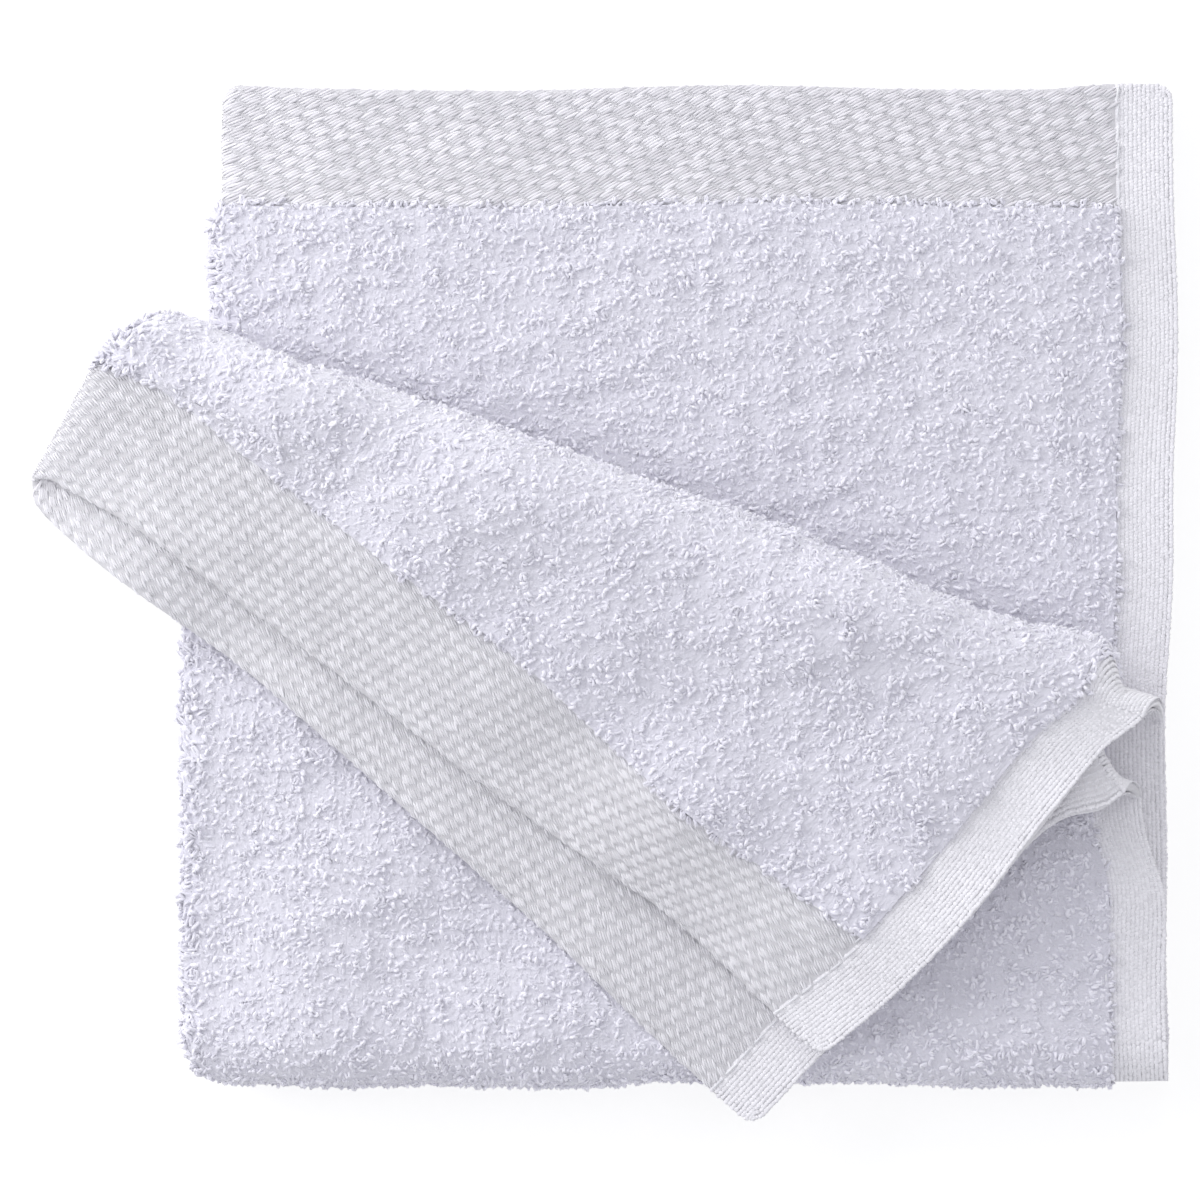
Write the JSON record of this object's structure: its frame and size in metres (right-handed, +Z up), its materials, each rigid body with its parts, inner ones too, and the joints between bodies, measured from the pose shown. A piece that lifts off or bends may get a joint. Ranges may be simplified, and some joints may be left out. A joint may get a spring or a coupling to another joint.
{
  "type": "terry face towel",
  "caption": "Square white cotton terry face towel with flat woven end bands and sewn side hems, folded in quarters with one corner leaf turned down.",
  "frame": {"origin": "on the table, under the middle of the folded towel's outline", "axes": "+X along the bottom fold towards the sewn side hems, +Y from the bottom fold to the banded end, +Z up from the table"},
  "size_m": [0.171, 0.1546, 0.0262],
  "materials": {
    "terry_cloth": "white looped cotton terry",
    "woven_band": "white flat twill band",
    "hem_cloth": "white finely ribbed hem",
    "sewing_thread": "white sewing thread"
  },
  "bodies": {
    "back_leaf": {"back_under_terry": "terry_cloth", "back_over_terry": "terry_cloth", "back_left_fold": "terry_cloth", "back_under_band": "woven_band", "back_over_band": "woven_band", "back_band_left_fold": "woven_band", "back_under_end_turning": "woven_band", "back_over_end_turning": "woven_band", "back_under_side_hem": "hem_cloth", "back_over_side_hem": "hem_cloth", "back_under_side_thread": "sewing_thread", "back_over_side_thread": "sewing_thread", "back_under_end_thread": "sewing_thread", "back_over_end_thread": "sewing_thread", "bottom_inner_fold": "terry_cloth", "bottom_outer_fold": "terry_cloth", "bottom_left_fold": "terry_cloth", "bottom_inner_hem_fold": "hem_cloth", "bottom_outer_hem_fold": "hem_cloth"},
    "front_leaf": {"front_under_terry": "terry_cloth", "front_over_terry": "terry_cloth", "front_left_fold": "terry_cloth", "front_under_side_hem": "hem_cloth", "front_over_side_hem": "hem_cloth", "front_under_side_thread": "sewing_thread", "front_over_side_thread": "sewing_thread", "crease_outer_roll": "terry_cloth", "crease_inner_roll": "terry_cloth", "crease_left_roll": "terry_cloth", "crease_outer_hem_roll": "hem_cloth", "crease_inner_hem_roll": "hem_cloth"},
    "corner_flap": {"flap_over_terry": "terry_cloth", "flap_under_terry": "terry_cloth", "flap_left_fold": "terry_cloth", "flap_over_band": "woven_band", "flap_under_band": "woven_band", "flap_band_left_fold": "woven_band", "flap_over_end_turning": "woven_band", "flap_under_end_turning": "woven_band", "flap_over_side_hem": "hem_cloth", "flap_under_side_hem": "hem_cloth", "flap_over_side_thread": "sewing_thread", "flap_under_side_thread": "sewing_thread", "flap_over_end_thread": "sewing_thread", "flap_under_end_thread": "sewing_thread"}
  },
  "joints": [
    {"name": "front_leaf_turn", "type": "hinge", "parent": "back_leaf", "child": "front_leaf", "pos_m": [0, -0.0704, 0.00685], "axis": [1, 0, 0], "range_deg": [0, 90], "deforming": ["bottom_inner_fold", "bottom_outer_fold", "bottom_left_fold", "bottom_inner_hem_fold", "bottom_outer_hem_fold"]},
    {"name": "corner_flap_turn", "type": "hinge", "parent": "front_leaf", "child": "corner_flap", "pos_m": [0.00515, 0.01557, 0.0172], "axis": [-0.9494, 0.314, 0], "range_deg": [0, 175], "deforming": ["crease_outer_roll", "crease_inner_roll", "crease_left_roll", "crease_outer_hem_roll", "crease_inner_hem_roll"]}
  ]
}
